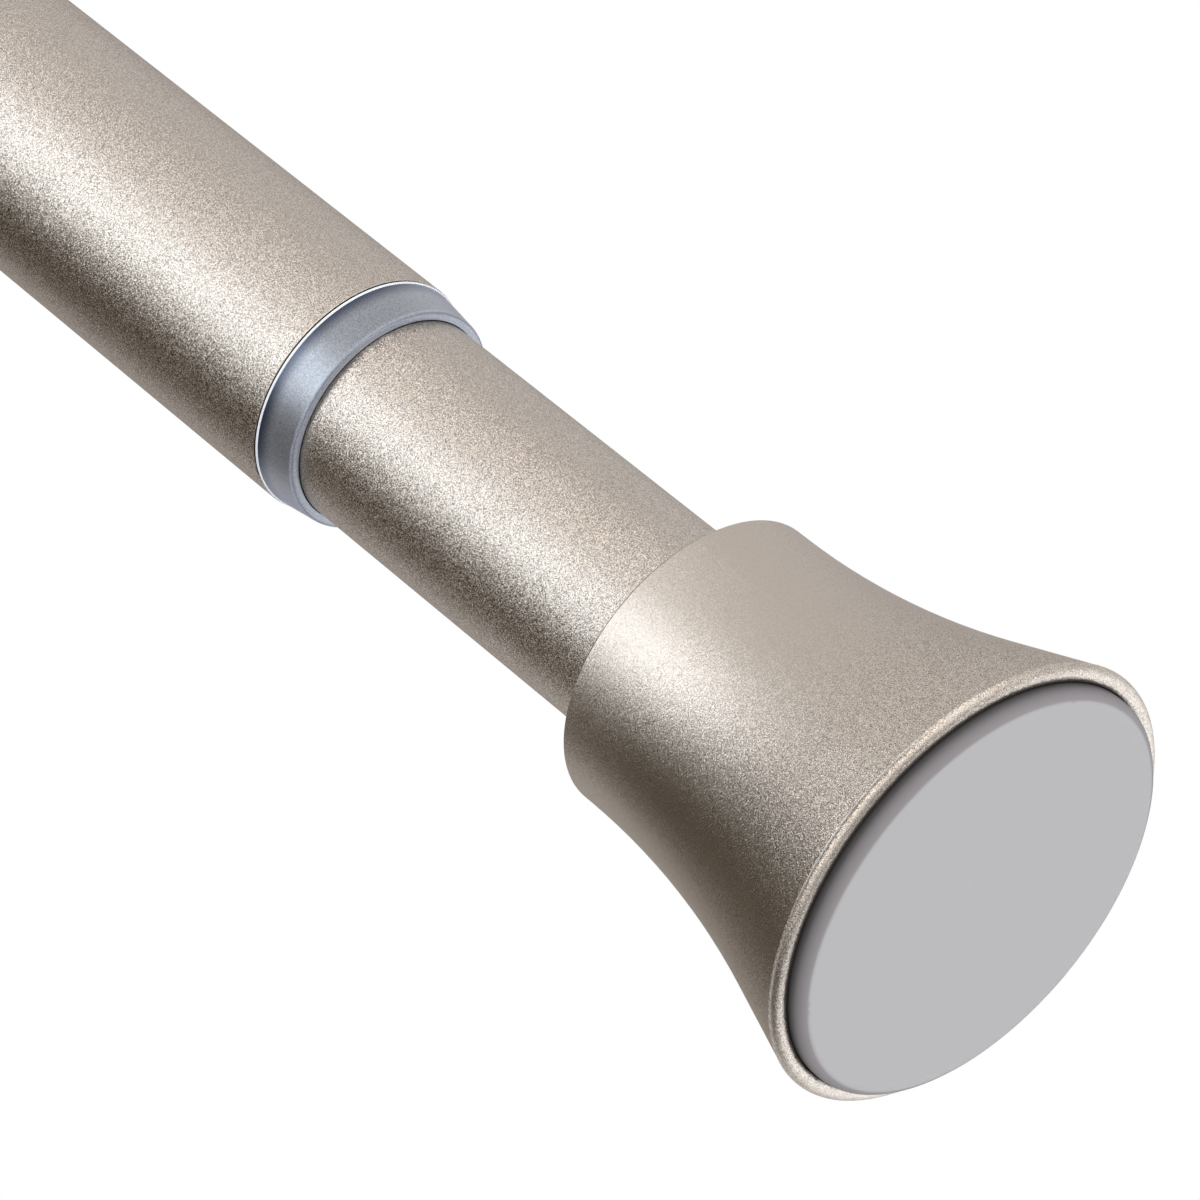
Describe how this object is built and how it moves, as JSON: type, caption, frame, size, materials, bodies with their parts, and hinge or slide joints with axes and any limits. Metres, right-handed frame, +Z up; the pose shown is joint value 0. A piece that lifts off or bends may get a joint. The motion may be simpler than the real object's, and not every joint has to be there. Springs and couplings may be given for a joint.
{
  "type": "spring tension rod",
  "caption": "Telescopic spring tension rod for a curtain: flared end caps with rubber pads grip between two walls, twisting the small tube sets the length.",
  "frame": {"origin": "centre of the base pad's wall face, on the rod's axis", "axes": "+X along the rod from the base cap to the tip cap, +Z up with the rod held level, as it is used between two walls; the rod is round, so up is a choice"},
  "size_m": [0.4284, 0.0458, 0.0458],
  "materials": {
    "tube_paint": "satin metallic",
    "cap_paint": "satin metallic",
    "pad_rubber": "matt",
    "ring_plastic": "translucent",
    "white_plastic": "moulded",
    "dark_plastic": "moulded",
    "zinc_steel": "zinc plated",
    "spring_steel": "oiled"
  },
  "bodies": {
    "root": {"large_tube": "tube_paint", "base_cap": "cap_paint", "base_pad": "pad_rubber", "base_plug": "white_plastic", "base_screw": "zinc_steel", "spring_housing": "white_plastic", "base_spring_washer": "zinc_steel", "spring": "spring_steel", "trim_ring": "ring_plastic"},
    "screw": {"follower_washer": "zinc_steel", "follower": "white_plastic", "rod_pin": "zinc_steel", "threaded_rod": "zinc_steel", "stop_washer": "zinc_steel", "stop_screw": "zinc_steel"},
    "glide": {"glide_ring": "dark_plastic"},
    "tube": {"drive_nut": "dark_plastic", "nut_pins": "zinc_steel", "small_tube": "tube_paint", "tip_bush": "white_plastic", "tip_plug": "white_plastic", "tip_screw": "zinc_steel", "tip_cap": "cap_paint", "tip_pad": "pad_rubber"}
  },
  "joints": [
    {"name": "spring_travel", "type": "slide", "parent": "root", "child": "screw", "axis": [1, 0, 0], "range_m": [-0.02, 0], "stiffness_N_per_m": 2500, "springref_m": 0.015, "deforming": ["spring"]},
    {"name": "extend", "type": "slide", "parent": "screw", "child": "glide", "axis": [1, 0, 0], "range_m": [-0.022, 0.1304]},
    {"name": "twist", "type": "hinge", "parent": "glide", "child": "tube", "pos_m": [0.1358, 0, 0], "axis": [1, 0, 0], "range_deg": [-990, 5868]}
  ],
  "couplings": [
    {"joint": "extend", "follows": "twist", "m_per_rad": 0.0012732}
  ]
}
